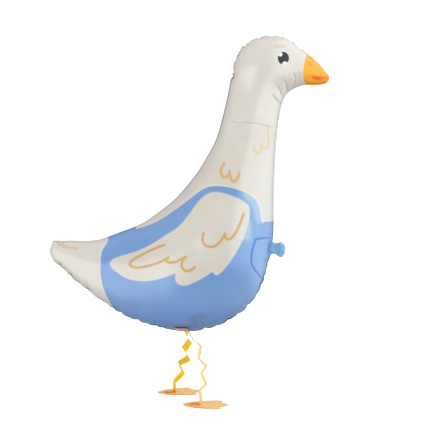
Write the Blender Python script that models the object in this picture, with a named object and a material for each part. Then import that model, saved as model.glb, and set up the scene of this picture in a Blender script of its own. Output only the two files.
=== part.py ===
"""Goose foil balloon: an inflated film goose on two folded strip legs with card feet.

The goose faces +X, its left side is +Y, and +Z is up. The origin is on the floor, under the
middle of the balloon's length. All sizes are in metres.

The balloon is two film panels welded round their edge. It is described by ribs: straight lines
from the seam along the back to the seam along the front, from the tail to the bill. Each rib
carries one closed section, so the whole balloon is one skin of rings, closed at both ends.
"""

import math

import bmesh
import bpy
import numpy as np
from mathutils import Vector
from mathutils.bvhtree import BVHTree

# Balloon
BALLOON_HEIGHT = 0.697  # belly to crown, inflated
BELLY_CLEARANCE = 0.157  # floor to the base line of the ribs
SEAM_WIDTH = 0.0048
SEAM_THICKNESS = 0.0012
RING_STEP = 0.0072  # longest distance between rings, along either seam
RINGS_PER_BELLY_PUCKER = 4
RINGS_PER_CROWN_PUCKER = 2
BELLY_PUCKER_DEPTH = 0.0034  # how far a pucker draws the seam in
CROWN_PUCKER_DEPTH = 0.0018
PUCKER_HOLLOW = 1.2  # how deep a pucker sinks in the film, over how far it draws the seam in

# Filling valve
VALVE_REACH = 0.029  # how far the tube stands out of the chest seam
VALVE_HEIGHT = 0.038
VALVE_THICKNESS = 0.013
VALVE_ROOT = 0.014  # how far the tube starts inside the balloon
VALVE_PLACE = 0.276  # its height up the balloon, as a share
VALVE_DROOP_DEG = 6.0
VALVE_SIDES = 16

# Legs
STRIP_WIDTH = 0.022
STRIP_THICKNESS = 0.0008
GLUE_GAP = 0.0004  # between a glued tab and what it is glued to
HIP_TAB = 0.030
FOOT_TAB = 0.024
RIGHT_HIP = (-0.003, -0.031)  # x and y of the middle of the hip fold
LEFT_HIP = (-0.011, 0.012)

# Feet
FOOT_LENGTH = 0.103
FOOT_WIDTH = 0.094
CARD_THICKNESS = 0.0014
RIGHT_HEEL = (-0.013, -0.0727)  # x and y
STRIDE = 0.066  # how far the left heel stands behind the right one
STANCE = 0.134  # and how far to the left of it
RIGHT_TOE_OUT_DEG = 4.0
LEFT_TOE_OUT_DEG = 13.0
ANKLE_SHARE = 0.41  # of the foot's length, from the heel

# Each row is one rib: the back seam's x and z, then the front seam's, as shares of the
# balloon's height. z is measured from the belly's base line.
RIBS = (
    (-0.454, 0.308, -0.455, 0.234),  # tail end
    (-0.390, 0.306, -0.410, 0.191),
    (-0.312, 0.308, -0.332, 0.128),
    (-0.238, 0.332, -0.228, 0.057),
    (-0.164, 0.361, -0.099, 0.012),
    (-0.103, 0.401, 0.035, 0.0015),  # belly
    (-0.049, 0.444, 0.148, 0.041),
    (-0.005, 0.492, 0.222, 0.107),
    (0.032, 0.541, 0.263, 0.197),
    (0.066, 0.597, 0.284, 0.315),  # chest
    (0.093, 0.651, 0.288, 0.443),
    (0.113, 0.720, 0.293, 0.588),  # neck
    (0.130, 0.791, 0.303, 0.700),
    (0.141, 0.857, 0.319, 0.776),  # nape
    (0.162, 0.938, 0.341, 0.807),
    (0.219, 0.989, 0.363, 0.820),
    (0.292, 1.000, 0.376, 0.825),  # crown
    (0.356, 0.975, 0.388, 0.828),
    (0.403, 0.934, 0.403, 0.829),  # root of the bill
    (0.438, 0.903, 0.432, 0.829),
    (0.467, 0.869, 0.459, 0.841),  # end of the bill
)
TAIL_CAP = 0.014  # length of the rounded end past the first rib, as a share of the height
BILL_CAP = 0.009

# Half the thickness of the inflated section over half its width, at some of the ribs
FULLNESS = (
    (0, 0.52),
    (2, 0.64),
    (4, 0.71),
    (6, 0.74),
    (9, 0.84),
    (11, 0.94),
    (13, 0.92),
    (16, 0.80),
    (18, 0.84),
    (20, 0.80),
)

# Ribs between which each seam is puckered
BELLY_PUCKERS = (-1.0, 8.3)
CROWN_PUCKERS = (13.2, 17.6)
PATCH_EDGE = 0.012  # over which the film that is held flat at the hip tabs gets its puckers back

# Where a section's points stand round one panel, from the back seam to the front seam, and how
# much of a pucker's draw reaches each
SECTION_DEG = (13, 38, 70, 103, 130, 150, 168)
PUCKER_FADE = (1.0, 0.35, 0.0, 0.0, 0.15, 0.5, 1.0)

# The filling tube's sections: place along its reach, height and thickness, as shares
VALVE_SECTIONS = (
    (0.00, 0.75, 0.80),
    (0.32, 0.62, 0.70),
    (0.62, 0.80, 0.85),
    (0.86, 1.00, 1.00),
    (1.00, 0.93, 0.62),
)

# Each leg: where its heel is and how far its foot is turned to the left, where its hip fold is and
# which way its hip tab runs, and its folds from hip to ankle. A fold has its share of the way down,
# its offset along x from the straight line as a share of the strip's width, and the fold line's
# direction.
LEGS = {
    "right": {
        "heel": RIGHT_HEEL,
        "turn_deg": -RIGHT_TOE_OUT_DEG,
        "hip": RIGHT_HIP,
        "tab": (-1.00, 0.20),
        "folds": (
            (0.00, 0.00, (0.20, 1.00, 0.00)),
            (0.14, 0.39, (0.13, 0.97, -0.18)),
            (0.23, 1.06, (0.28, 0.93, -0.24)),
            (0.40, 0.59, (0.26, 0.94, -0.20)),
            (0.50, 1.22, (0.31, 0.95, -0.08)),
            (0.60, 0.56, (0.23, 0.97, -0.11)),
            (0.74, 0.86, (0.32, 0.94, -0.09)),
            (0.82, 0.07, (0.27, 0.95, -0.16)),
            (1.00, 0.00, (0.29, 0.95, 0.00)),
        ),
    },
    "left": {
        "heel": (RIGHT_HEEL[0] - STRIDE, RIGHT_HEEL[1] + STANCE),
        "turn_deg": LEFT_TOE_OUT_DEG,
        "hip": LEFT_HIP,
        "tab": (0.65, 0.75),
        "folds": (
            (0.00, 0.00, (0.75, -0.65, 0.00)),
            (0.12, 0.34, (0.12, -0.98, -0.12)),
            (0.18, 0.77, (0.44, -0.81, -0.39)),
            (0.32, 0.25, (0.54, -0.68, -0.50)),
            (0.45, 0.97, (0.43, -0.73, -0.53)),
            (0.54, 0.01, (0.40, -0.87, -0.29)),
            (0.69, 0.59, (0.48, -0.86, -0.15)),
            (0.83, -0.18, (0.35, -0.91, -0.22)),
            (1.00, 0.00, (0.38, -0.92, 0.00)),
        ),
    },
}
TAB_ROWS = 6  # rows of points along a hip tab, which follows the film
TAB_COLUMNS = 5
TAB_REACH = 0.0028  # how far round each point a hip tab keeps clear of the film

# The foot's edge on one side, from the heel to the middle toe: shares of its length and half width
FOOT_EDGE = (
    (0.00, 0.00),
    (0.02, 0.20),
    (0.13, 0.49),
    (0.33, 0.76),
    (0.55, 0.93),
    (0.74, 1.00),
    (0.84, 0.95),
    (0.87, 0.83),
    (0.84, 0.62),
    (0.86, 0.46),
    (0.94, 0.33),
    (0.99, 0.16),
    (1.00, 0.00),
)


def clear_scene():
    for thing in list(bpy.data.objects):
        bpy.data.objects.remove(thing)


def plain_material(name, colour, roughness, metallic=0.0):
    material = bpy.data.materials.new(name)
    material.use_nodes = True
    shader = material.node_tree.nodes["Principled BSDF"]
    shader.inputs["Base Color"].default_value = (*colour, 1.0)
    shader.inputs["Roughness"].default_value = roughness
    shader.inputs["Metallic"].default_value = metallic
    return material


def add_object(name, mesh, material):
    thing = bpy.data.objects.new(name, mesh)
    bpy.context.scene.collection.objects.link(thing)
    mesh.materials.append(material)
    return thing


def unit(direction):
    direction = np.asarray(direction, float)
    return direction / np.linalg.norm(direction)


def grid_faces(rows, columns, closed=False):
    """Four-sided faces between neighbouring rows of points, going right round if closed."""
    last = columns if closed else columns - 1
    faces = []
    for i in range(rows - 1):
        for j in range(last):
            k = (j + 1) % columns
            faces.append((i * columns + j, i * columns + k, (i + 1) * columns + k, (i + 1) * columns + j))
    return faces


def closed_mesh(name, points, faces):
    """Makes a mesh, merges the points that coincide and turns its faces outwards."""
    mesh = bpy.data.meshes.new(name)
    mesh.from_pydata([tuple(p) for p in points], [], faces)
    work = bmesh.new()
    work.from_mesh(mesh)
    bmesh.ops.remove_doubles(work, verts=work.verts, dist=1e-6)
    bmesh.ops.dissolve_degenerate(work, edges=work.edges, dist=1e-6)
    bmesh.ops.recalc_face_normals(work, faces=work.faces)
    work.to_mesh(mesh)
    work.free()
    return mesh


def natural_spline(rows, steps):
    """Smooth curve through the rows, bending as a thin batten would, and each point's row number."""
    rows = np.asarray(rows, float)
    knots = np.concatenate([[0], np.cumsum(np.linalg.norm(np.diff(rows, axis=0), axis=1) ** 0.5)])
    gaps = np.diff(knots)
    count = len(rows)
    system = np.eye(count)
    wanted = np.zeros_like(rows)
    for i in range(1, count - 1):
        system[i, i - 1 : i + 2] = gaps[i - 1], 2 * (gaps[i - 1] + gaps[i]), gaps[i]
        wanted[i] = 6 * ((rows[i + 1] - rows[i]) / gaps[i] - (rows[i] - rows[i - 1]) / gaps[i - 1])
    bend = np.linalg.solve(system, wanted)
    number = np.linspace(0, count - 1, steps * (count - 1) + 1)
    span = np.minimum(number.astype(int), count - 2)
    b = (number - span)[:, None]
    a = 1 - b
    size = gaps[span][:, None] ** 2 / 6
    curve = a * rows[span] + b * rows[span + 1]
    curve += ((a**3 - a) * bend[span] + (b**3 - b) * bend[span + 1]) * size
    return curve, number


def end_cap(end_rib, next_rib, length, steps=24):
    """Ribs that round the balloon off past its end rib, each seam as a quarter of an ellipse."""
    back, front = end_rib[:2], end_rib[2:]
    along = unit(back - front)
    outward = np.array([along[1], -along[0]])
    if outward @ (end_rib - next_rib)[:2] < 0:
        outward = -outward
    turn = np.linspace(0, math.pi / 2, steps + 1)[1:, None]
    middle = (back + front) / 2 + outward * length * np.sin(turn)
    half = (back - front) / 2 * np.cos(turn)
    return np.hstack([middle + half, middle - half])


def rib_lines():
    """All ribs, closely spaced, from the tail's tip to the bill's tip, with their rib numbers."""
    curve, number = natural_spline(np.array(RIBS) * BALLOON_HEIGHT, 40)
    tail = end_cap(curve[0], curve[1], TAIL_CAP * BALLOON_HEIGHT)
    bill = end_cap(curve[-1], curve[-2], BILL_CAP * BALLOON_HEIGHT)
    past_end = np.arange(1, len(tail) + 1) / len(tail)
    lines = np.vstack([tail[::-1], curve, bill])
    lines[:, 0::2] -= (lines[:, 0::2].min() + lines[:, 0::2].max()) / 2
    return lines, np.concatenate([-past_end[::-1], number, number[-1] + past_end])


def even_rings():
    """Picks the ribs that carry rings: none is further than RING_STEP from the next on either seam."""
    lines, numbers = rib_lines()
    moves = np.diff(lines, axis=0)
    steps = np.maximum(np.hypot(moves[:, 0], moves[:, 1]), np.hypot(moves[:, 2], moves[:, 3]))
    along = np.concatenate([[0], np.cumsum(steps)])
    puckers = math.ceil(along[-1] / RING_STEP / RINGS_PER_BELLY_PUCKER)
    places = np.linspace(0, along[-1], puckers * RINGS_PER_BELLY_PUCKER + 1)
    picked = np.stack([np.interp(places, along, lines[:, i]) for i in range(4)], axis=1)
    return picked, np.interp(places, along, numbers)


def outward_normals(seam, middle):
    """Direction out of the balloon, in its plane, at each point of a seam."""
    along = np.gradient(seam, axis=0)
    normal = np.stack([along[:, 1], -along[:, 0]], axis=1)
    normal /= np.linalg.norm(normal, axis=1, keepdims=True)
    inward = np.sum(normal * (seam - middle), axis=1) < 0
    normal[inward] *= -1
    normal[0] = unit(middle[0] - middle[1])
    normal[-1] = unit(middle[-1] - middle[-2])
    return normal


def soft_range(values, limits, edge):
    """1 between the limits and 0 outside them, with soft ends."""
    rise = np.clip((values - limits[0]) / edge, 0, 1)
    fall = np.clip((limits[1] - values) / edge, 0, 1)
    return rise * fall


def tab_range():
    """The x from and to which the hip tabs cover the film, with a strip's width to spare."""
    hips = [leg["hip"][0] for leg in LEGS.values()]
    ends = [leg["hip"][0] + HIP_TAB * unit(leg["tab"])[0] for leg in LEGS.values()]
    return min(hips + ends) - STRIP_WIDTH, max(hips + ends) + STRIP_WIDTH


def pucker_draws(numbers, front_x):
    """How far the puckers draw each ring's back seam and front seam in."""
    ring = np.arange(len(numbers))
    belly = 0.5 - 0.5 * np.cos(2 * math.pi * ring / RINGS_PER_BELLY_PUCKER)
    crown = 0.5 - 0.5 * np.cos(2 * math.pi * ring / RINGS_PER_CROWN_PUCKER)
    patch = soft_range(front_x, tab_range(), PATCH_EDGE)
    front = BELLY_PUCKER_DEPTH * belly * soft_range(numbers, BELLY_PUCKERS, 0.5) * (1 - patch)
    back = CROWN_PUCKER_DEPTH * crown * soft_range(numbers, CROWN_PUCKERS, 0.5)
    return back, front


def balloon_points():
    """Every ring's points, as an array of rings x points x (x, y, z).

    A ring is a flattened ellipse between the two weld lines, with the seam's narrow flat border
    standing out past each of them. The end rings are folded shut.
    """
    ribs, numbers = even_rings()
    back, front = ribs[:, :2], ribs[:, 2:]
    middle = (back + front) / 2
    back_out, front_out = outward_normals(back, middle), outward_normals(front, middle)
    back_draw, front_draw = pucker_draws(numbers, front[:, 0])

    back_edge = back - back_out * back_draw[:, None]
    front_edge = front - front_out * front_draw[:, None]
    back_weld = back_edge - back_out * SEAM_WIDTH
    front_weld = front_edge - front_out * SEAM_WIDTH
    centre, half = (back_weld + front_weld) / 2, (back_weld - front_weld) / 2
    width = np.maximum(np.linalg.norm(half, axis=1), 1e-6)
    thick = width * np.interp(numbers, *np.array(FULLNESS).T)
    film = np.full(len(ribs), SEAM_THICKNESS / 2)

    panel = [(back_edge, film), (back_weld, film)]
    for degrees, fade in zip(SECTION_DEG, PUCKER_FADE):
        turn = math.radians(degrees)
        draw = (back_draw if degrees < 90 else front_draw) * fade
        place = centre + half * (math.cos(turn) * (1 - draw / width))[:, None]
        bulge = np.maximum(thick * math.sin(turn) - PUCKER_HOLLOW * draw, 0)
        panel.append((place, bulge + film))
    panel += [(front_weld, film), (front_edge, film)]

    right = [np.stack([place[:, 0], -y, place[:, 1]], axis=1) for place, y in panel]
    left = [points * [1, -1, 1] for points in right]
    rings = np.stack(right + left[::-1], axis=1)
    rings[:, :, 2] += BELLY_CLEARANCE
    return rings


def fold_end_shut(ring, tip, outward):
    """Gathers an end ring at the tip: its border outermost, and the rest one border's width behind."""
    half = len(ring) // 2
    behind = tip - outward * SEAM_WIDTH
    for i in range(len(ring)):
        on_edge = i in (0, half - 1, half, len(ring) - 1)
        place = tip if on_edge else behind
        side = -1 if i < half else 1
        ring[i] = (place[0], side * SEAM_THICKNESS / 2, place[1])


def make_balloon(material):
    rings = balloon_points()
    for end, inner in ((0, 1), (-1, -2)):
        tip = rings[end][:, 0::2].mean(axis=0)
        fold_end_shut(rings[end], tip, unit(tip - rings[inner][:, 0::2].mean(axis=0)))
    count, around = rings.shape[:2]
    mesh = closed_mesh("balloon", rings.reshape(-1, 3), grid_faces(count, around, closed=True))
    balloon = add_object("balloon", mesh, material)

    front_edge = rings[:, len(SECTION_DEG) + 3]
    union = balloon.modifiers.new("valve", "BOOLEAN")
    union.operation = "UNION"
    union.solver = "EXACT"
    union.object = make_valve(front_edge, material)
    mesh.shade_smooth()
    mesh.set_sharp_from_angle(angle=math.radians(40))
    return balloon


def make_valve(front_edge, material):
    """The film tube that fills the balloon, at the chest seam: narrow at its root, flared at its mouth."""
    wanted = BELLY_CLEARANCE + VALVE_PLACE * BALLOON_HEIGHT
    chest = front_edge[front_edge[:, 0] > 0]
    root = chest[np.argmin(np.abs(chest[:, 2] - wanted))]
    inner = -VALVE_ROOT / VALVE_REACH
    droop = math.tan(math.radians(VALVE_DROOP_DEG))
    points = []
    for place, tall, thick in ((inner, 0.9, 0.9),) + VALVE_SECTIONS:
        reach = place * VALVE_REACH
        for i in range(VALVE_SIDES):
            turn = 2 * math.pi * i / VALVE_SIDES
            y = math.cos(turn) * thick * VALVE_THICKNESS / 2
            z = math.sin(turn) * tall * VALVE_HEIGHT / 2 - droop * reach
            points.append((root[0] + reach, y, root[2] + z))
    sections = len(VALVE_SECTIONS) + 1
    faces = grid_faces(sections, VALVE_SIDES, closed=True)
    faces.append(tuple(range(VALVE_SIDES)))
    faces.append(tuple(range((sections - 1) * VALVE_SIDES, sections * VALVE_SIDES)))
    valve = add_object("valve_form", closed_mesh("valve_form", points, faces), material)
    valve.hide_render = True
    valve.display_type = "WIRE"
    return valve


def forward_of(leg):
    """The way a foot points."""
    turn = math.radians(leg["turn_deg"])
    return np.array([math.cos(turn), math.sin(turn), 0.0])


def under_film(skin, x, y, lift):
    """A point under the belly that clears the film's lowest place within TAB_REACH of it."""
    around = [(0.0, 0.0)] + [(math.cos(turn), math.sin(turn)) for turn in np.arange(8) * math.pi / 4]
    starts = [Vector((x + TAB_REACH * c, y + TAB_REACH * s, 0.0)) for c, s in around]
    lowest = min(skin.ray_cast(start, Vector((0, 0, 1)))[0].z for start in starts)
    return (x, y, lowest - lift)


def strip_rows(leg, skin):
    """The strip's rows of points, from the tab under the belly, down the folds, to the tab on the foot."""
    lift = GLUE_GAP + STRIP_THICKNESS / 2
    offsets = np.linspace(-0.5, 0.5, TAB_COLUMNS)[:, None] * STRIP_WIDTH
    _, _, hip_line = leg["folds"][0]
    _, _, ankle_line = leg["folds"][-1]
    tab_way = unit((*leg["tab"], 0.0))

    rows = []
    for step in np.linspace(HIP_TAB, 0, TAB_ROWS):
        plan = np.array([*leg["hip"], 0.0]) + tab_way * step + unit(hip_line) * offsets
        rows.append([under_film(skin, x, y, lift) for x, y, _ in plan])
    hip = np.mean(rows[-1], axis=0)

    heel = np.array([*leg["heel"], CARD_THICKNESS + lift])
    ankle = heel + forward_of(leg) * FOOT_LENGTH * ANKLE_SHARE
    for share, offset, fold_line in leg["folds"][1:]:
        centre = hip + (ankle - hip) * share + np.array([offset * STRIP_WIDTH, 0, 0])
        rows.append(centre + unit(fold_line) * offsets)
    heelwards = np.cross(unit(ankle_line), (0, 0, 1))
    if heelwards @ forward_of(leg) > 0:
        heelwards = -heelwards
    rows.append(ankle + heelwards * FOOT_TAB + unit(ankle_line) * offsets)
    return np.array(rows)


def make_leg(name, leg, skin, material):
    """A leg is one folded strip, glued flat under the belly and on its foot."""
    rows = strip_rows(leg, skin)
    mesh = bpy.data.meshes.new(name)
    mesh.from_pydata([tuple(p) for p in rows.reshape(-1, 3)], [], grid_faces(*rows.shape[:2]))
    strip = add_object(name, mesh, material)
    paper = strip.modifiers.new("paper", "SOLIDIFY")
    paper.thickness = STRIP_THICKNESS
    paper.offset = 0.0
    return strip


def foot_outline():
    """The foot's edge in plan, from the heel round the toes and back, heel at the origin."""
    one_side, _ = natural_spline(FOOT_EDGE, 2)
    one_side *= [FOOT_LENGTH, FOOT_WIDTH / 2]
    return np.vstack([one_side, (one_side * [1, -1])[-2:0:-1]])


def make_foot(name, leg, material):
    work = bmesh.new()
    underside = work.faces.new([work.verts.new((x, y, 0.0)) for x, y in foot_outline()])
    risen = bmesh.ops.extrude_face_region(work, geom=[underside])
    for vertex in (v for v in risen["geom"] if isinstance(v, bmesh.types.BMVert)):
        vertex.co.z = CARD_THICKNESS
    bmesh.ops.recalc_face_normals(work, faces=work.faces)
    mesh = bpy.data.meshes.new(name)
    work.to_mesh(mesh)
    work.free()
    foot = add_object(name, mesh, material)
    foot.location = (*leg["heel"], 0.0)
    foot.rotation_euler.z = math.radians(leg["turn_deg"])
    return foot


def main():
    clear_scene()
    film = plain_material("satin_film", (0.86, 0.84, 0.80), 0.32)
    paper = plain_material("yellow_paper", (0.98, 0.66, 0.10), 0.45)
    card = plain_material("peach_card", (0.94, 0.62, 0.36), 0.5)

    balloon = make_balloon(film)
    corners = [v.co for v in balloon.data.vertices]
    skin = BVHTree.FromPolygons(corners, [p.vertices for p in balloon.data.polygons])
    for side, leg in LEGS.items():
        make_leg(f"{side}_leg", leg, skin, paper)
        make_foot(f"{side}_foot", leg, card)


main()
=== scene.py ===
# %% [markdown]
# # A foil goose balloon
#
# The solids of the part come in as a fixed frame. This script gives them their looks: a film
# balloon with a welded seam, puckers, creases and its print, paper strip legs and card feet.
# The goose faces +X, the camera looks along +Y, and all sizes are in metres.

import math

import bmesh
import bpy
import numpy as np
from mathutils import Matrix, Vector
from mathutils.bvhtree import BVHTree


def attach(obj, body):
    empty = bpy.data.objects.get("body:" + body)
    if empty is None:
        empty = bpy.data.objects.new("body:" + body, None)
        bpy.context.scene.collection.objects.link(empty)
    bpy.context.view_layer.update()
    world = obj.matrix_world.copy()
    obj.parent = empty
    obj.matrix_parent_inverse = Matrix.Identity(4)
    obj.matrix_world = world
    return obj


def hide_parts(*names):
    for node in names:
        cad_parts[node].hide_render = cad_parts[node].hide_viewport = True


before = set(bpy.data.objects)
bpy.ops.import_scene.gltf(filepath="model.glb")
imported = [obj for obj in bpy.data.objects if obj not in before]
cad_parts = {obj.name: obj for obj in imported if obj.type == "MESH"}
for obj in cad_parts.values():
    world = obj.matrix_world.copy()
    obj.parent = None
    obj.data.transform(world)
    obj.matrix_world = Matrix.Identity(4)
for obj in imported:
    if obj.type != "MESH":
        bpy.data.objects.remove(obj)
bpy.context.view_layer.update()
print("nodes:", sorted(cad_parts))

# %% [markdown]
# ## The photograph's camera
#
# The photo is 430 pixels square. The goose's own plane, y = 0, is CAMERA_DISTANCE away, where one
# pixel covers 2.35 mm. Print and creases are laid out in photo pixels, and project() takes any
# point of the near panel to its pixel.

# %%
PHOTO_PIXELS = 430
CAMERA_PLACE = np.array([0.060, -2.115, 0.430])
PIXELS_PER_TANGENT = 900.0
SENSOR_MM = 36.0
METRES_PER_PIXEL = 0.00235


def project(points):
    """Photo pixels of points: the offset from the camera over the depth, times the focal length."""
    offset = points - CAMERA_PLACE
    right = offset[..., 0] / offset[..., 1]
    up = offset[..., 2] / offset[..., 1]
    middle = PHOTO_PIXELS / 2
    return np.stack([middle + PIXELS_PER_TANGENT * right, middle - PIXELS_PER_TANGENT * up], axis=-1)


def add_object(name, data):
    thing = bpy.data.objects.new(name, data)
    bpy.context.scene.collection.objects.link(thing)
    return thing


def look_from_photo():
    camera = add_object("camera", bpy.data.cameras.new("camera"))
    camera.location = CAMERA_PLACE
    camera.rotation_euler = (math.pi / 2, 0, 0)
    camera.data.sensor_width = SENSOR_MM
    camera.data.lens = SENSOR_MM * PIXELS_PER_TANGENT / PHOTO_PIXELS
    bpy.context.scene.camera = camera
    return camera


camera = look_from_photo()
print("lens", round(camera.data.lens, 2), "mm")

# %% [markdown]
# ## Curves
#
# Every outline is a smooth curve through a few points, the curve that a thin batten would take.

# %%
CURVE_STEPS = 8  # points from one given point to the next


def unit(direction):
    direction = np.asarray(direction, float)
    return direction / np.linalg.norm(direction)


def natural_spline(rows, steps):
    """A cubic curve through the rows with no bend at its ends, and each point's row number.

    On each span it is a straight blend of the two rows plus (a^3 - a) and (b^3 - b) times the
    bends at its ends, where a + b = 1. The bends solve one small linear system.
    """
    rows = np.asarray(rows, float)
    knots = np.concatenate([[0], np.cumsum(np.linalg.norm(np.diff(rows, axis=0), axis=1) ** 0.5)])
    gaps = np.diff(knots)
    count = len(rows)
    system = np.eye(count)
    wanted = np.zeros_like(rows)
    for i in range(1, count - 1):
        system[i, i - 1 : i + 2] = gaps[i - 1], 2 * (gaps[i - 1] + gaps[i]), gaps[i]
        wanted[i] = 6 * ((rows[i + 1] - rows[i]) / gaps[i] - (rows[i] - rows[i - 1]) / gaps[i - 1])
    bend = np.linalg.solve(system, wanted)
    number = np.linspace(0, count - 1, steps * (count - 1) + 1)
    span = np.minimum(number.astype(int), count - 2)
    b = (number - span)[:, None]
    a = 1 - b
    size = gaps[span][:, None] ** 2 / 6
    curve = a * rows[span] + b * rows[span + 1]
    curve += ((a**3 - a) * bend[span] + (b**3 - b) * bend[span + 1]) * size
    return curve, number


def run(points):
    """A smooth open curve in photo pixels, or a straight line through two points."""
    if len(points) == 2:
        return np.array(points, float)
    return natural_spline(points, CURVE_STEPS)[0]


def distance_to_line(points, line):
    """The shortest distance from each point to a polyline."""
    best = np.full(len(points), np.inf)
    for start, end in zip(line[:-1], line[1:]):
        along = end - start
        share = np.clip((points - start) @ along / max(along @ along, 1e-12), 0, 1)
        best = np.minimum(best, np.linalg.norm(points - start - share[:, None] * along, axis=1))
    return best


def distance_to_shape(points, outline):
    """The distance to a closed outline, negative inside it: a point is inside if a ray to its right
    crosses the outline an odd number of times."""
    closed = np.vstack([outline, outline[:1]])
    inside = np.zeros(len(points), bool)
    x, y = points.T
    for (x0, y0), (x1, y1) in zip(closed[:-1], closed[1:]):
        spans = (y0 > y) != (y1 > y)
        if spans.any():
            inside ^= spans & (x < x0 + (y - y0) * (x1 - x0) / (y1 - y0))
    return np.where(inside, -1, 1) * distance_to_line(points, closed)


# %% [markdown]
# ## The balloon's ribs
#
# Two film panels are welded round their edge. A rib is a straight line from the seam along the
# back to the seam along the front, from the tail to the bill, in shares of the balloon's height.

# %%
BALLOON_HEIGHT = 0.697
BELLY_CLEARANCE = 0.157
SEAM_WIDTH = 0.0030
FILM_GAP = 0.0004  # between the two films in the seam's border
RIBS = (
    (-0.454, 0.308, -0.455, 0.234),  # tail end
    (-0.390, 0.306, -0.410, 0.191),
    (-0.312, 0.308, -0.332, 0.128),
    (-0.238, 0.332, -0.228, 0.057),
    (-0.164, 0.361, -0.099, 0.012),
    (-0.103, 0.401, 0.035, 0.0015),  # belly
    (-0.049, 0.444, 0.148, 0.041),
    (-0.005, 0.492, 0.222, 0.107),
    (0.032, 0.541, 0.263, 0.197),
    (0.066, 0.597, 0.284, 0.315),  # chest
    (0.093, 0.651, 0.288, 0.443),
    (0.113, 0.720, 0.293, 0.588),  # neck
    (0.130, 0.791, 0.303, 0.700),
    (0.141, 0.857, 0.319, 0.776),  # nape
    (0.162, 0.938, 0.341, 0.807),
    (0.219, 0.989, 0.363, 0.820),
    (0.292, 1.000, 0.376, 0.825),  # crown
    (0.356, 0.975, 0.388, 0.828),
    (0.403, 0.934, 0.403, 0.829),  # root of the bill
    (0.438, 0.903, 0.432, 0.829),
    (0.467, 0.869, 0.462, 0.834),  # end of the bill
)
TAIL_CAP = 0.014
BILL_CAP = 0.009
CAP_STEPS = 60
RIB_STEPS = 120
FULLNESS = (
    (0, 0.52),
    (2, 0.64),
    (4, 0.71),
    (6, 0.74),
    (9, 0.84),
    (11, 0.94),
    (13, 0.92),
    (16, 0.80),
    (18, 0.84),
    (20, 0.80),
)


def end_cap(end_rib, next_rib, length):
    """Ribs that round the balloon off past its end rib, each seam as a quarter of an ellipse."""
    back, front = end_rib[:2], end_rib[2:]
    along = unit(back - front)
    outward = np.array([along[1], -along[0]])
    if outward @ (end_rib - next_rib)[:2] < 0:
        outward = -outward
    turn = np.linspace(0, math.pi / 2, CAP_STEPS + 1)[1:, None]
    middle = (back + front) / 2 + outward * length * np.sin(turn)
    half = (back - front) / 2 * np.cos(turn)
    return np.hstack([middle + half, middle - half])


def seam_normals(seam, middle):
    """The way out of the balloon, in its own plane, at each point of a seam."""
    along = np.gradient(seam, axis=0)
    normal = np.stack([along[:, 1], -along[:, 0]], axis=1)
    normal /= np.linalg.norm(normal, axis=1, keepdims=True)
    normal[np.sum(normal * (seam - middle), axis=1) < 0] *= -1
    normal[0] = unit(middle[0] - middle[1])
    normal[-1] = unit(middle[-1] - middle[-2])
    return normal


def arc_length(curve):
    """The length of a curve up to each of its points."""
    return np.concatenate([[0], np.cumsum(np.linalg.norm(np.diff(curve, axis=0), axis=1))])


def balloon_ribs():
    """A table of closely spaced ribs, with what changes along them."""
    curve, number = natural_spline(np.array(RIBS) * BALLOON_HEIGHT, RIB_STEPS)
    tail = end_cap(curve[0], curve[1], TAIL_CAP * BALLOON_HEIGHT)
    bill = end_cap(curve[-1], curve[-2], BILL_CAP * BALLOON_HEIGHT)
    past_end = np.arange(1, len(tail) + 1) / len(tail)
    lines = np.vstack([tail[::-1], curve, bill])
    lines[:, 0::2] -= (lines[:, 0::2].min() + lines[:, 0::2].max()) / 2
    lines[:, 1::2] += BELLY_CLEARANCE
    number = np.concatenate([-past_end[::-1], number, number[-1] + past_end])
    back, front = lines[:, :2], lines[:, 2:]
    middle = (back + front) / 2
    back_along, front_along = arc_length(back), arc_length(front)
    steps = np.maximum(np.diff(back_along), np.diff(front_along))
    return {
        "place": np.concatenate([[0], np.cumsum(steps)]),
        "number": number,
        "back": back,
        "front": front,
        "back_out": seam_normals(back, middle),
        "front_out": seam_normals(front, middle),
        "back_along": back_along,
        "front_along": front_along,
        "fullness": np.interp(number, *np.array(FULLNESS).T),
    }


ribs = balloon_ribs()
print("seams in metres:", {seam: round(ribs[f"{seam}_along"][-1], 3) for seam in ("back", "front")})

# %% [markdown]
# ## Puckers and creases
#
# The film can't stretch, so where the inflated edge is shorter than the flat one, it gathers in
# sharp valleys that run in from the seam, with rounded pillows between them. Each pucker is a
# place along a seam, a depth, a width, a reach and the length of its dark crease. The longest
# ones stand where the photo shows them, and the rest are spread evenly with some chance.

# %%
rng = np.random.default_rng(11)
LONG_PUCKERS = (  # photo pixels on the front seam, then depth, reach and crease length in metres
    (138.5, 317.5, 0.0060, 0.030, 0.040),
    (156.0, 325.0, 0.0052, 0.026, 0.034),
    (205.0, 327.5, 0.0064, 0.046, 0.075),
    (227.8, 319.5, 0.0062, 0.040, 0.050),
    (248.2, 305.6, 0.0060, 0.034, 0.032),
    (261.0, 285.0, 0.0052, 0.030, 0.026),
    (270.4, 262.9, 0.0048, 0.028, 0.022),
)
FOLDS = (  # photo pixels along each crease, depth and width in metres
    (((283.1, 79.0), (286.4, 85.0), (286.8, 93.0)), 0.0026, 0.0022),
    (((293.1, 72.0), (295.1, 78.8), (293.8, 86.0)), 0.0022, 0.0022),
    (((271.9, 93.8), (276.6, 99.5), (281.8, 104.6)), 0.0026, 0.0022),
    (((276.9, 84.5), (280.8, 92.5), (285.0, 98.5)), 0.0022, 0.0022),
    (((298.6, 69.0), (299.4, 75.0), (298.6, 82.0)), 0.0010, 0.0022),
    (((231.9, 121.3), (247.0, 122.6), (258.0, 124.0), (273.8, 127.5)), 0.0017, 0.0018),
    (((262.0, 262.5), (269.5, 260.5)), 0.0016, 0.0030),
)
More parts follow.
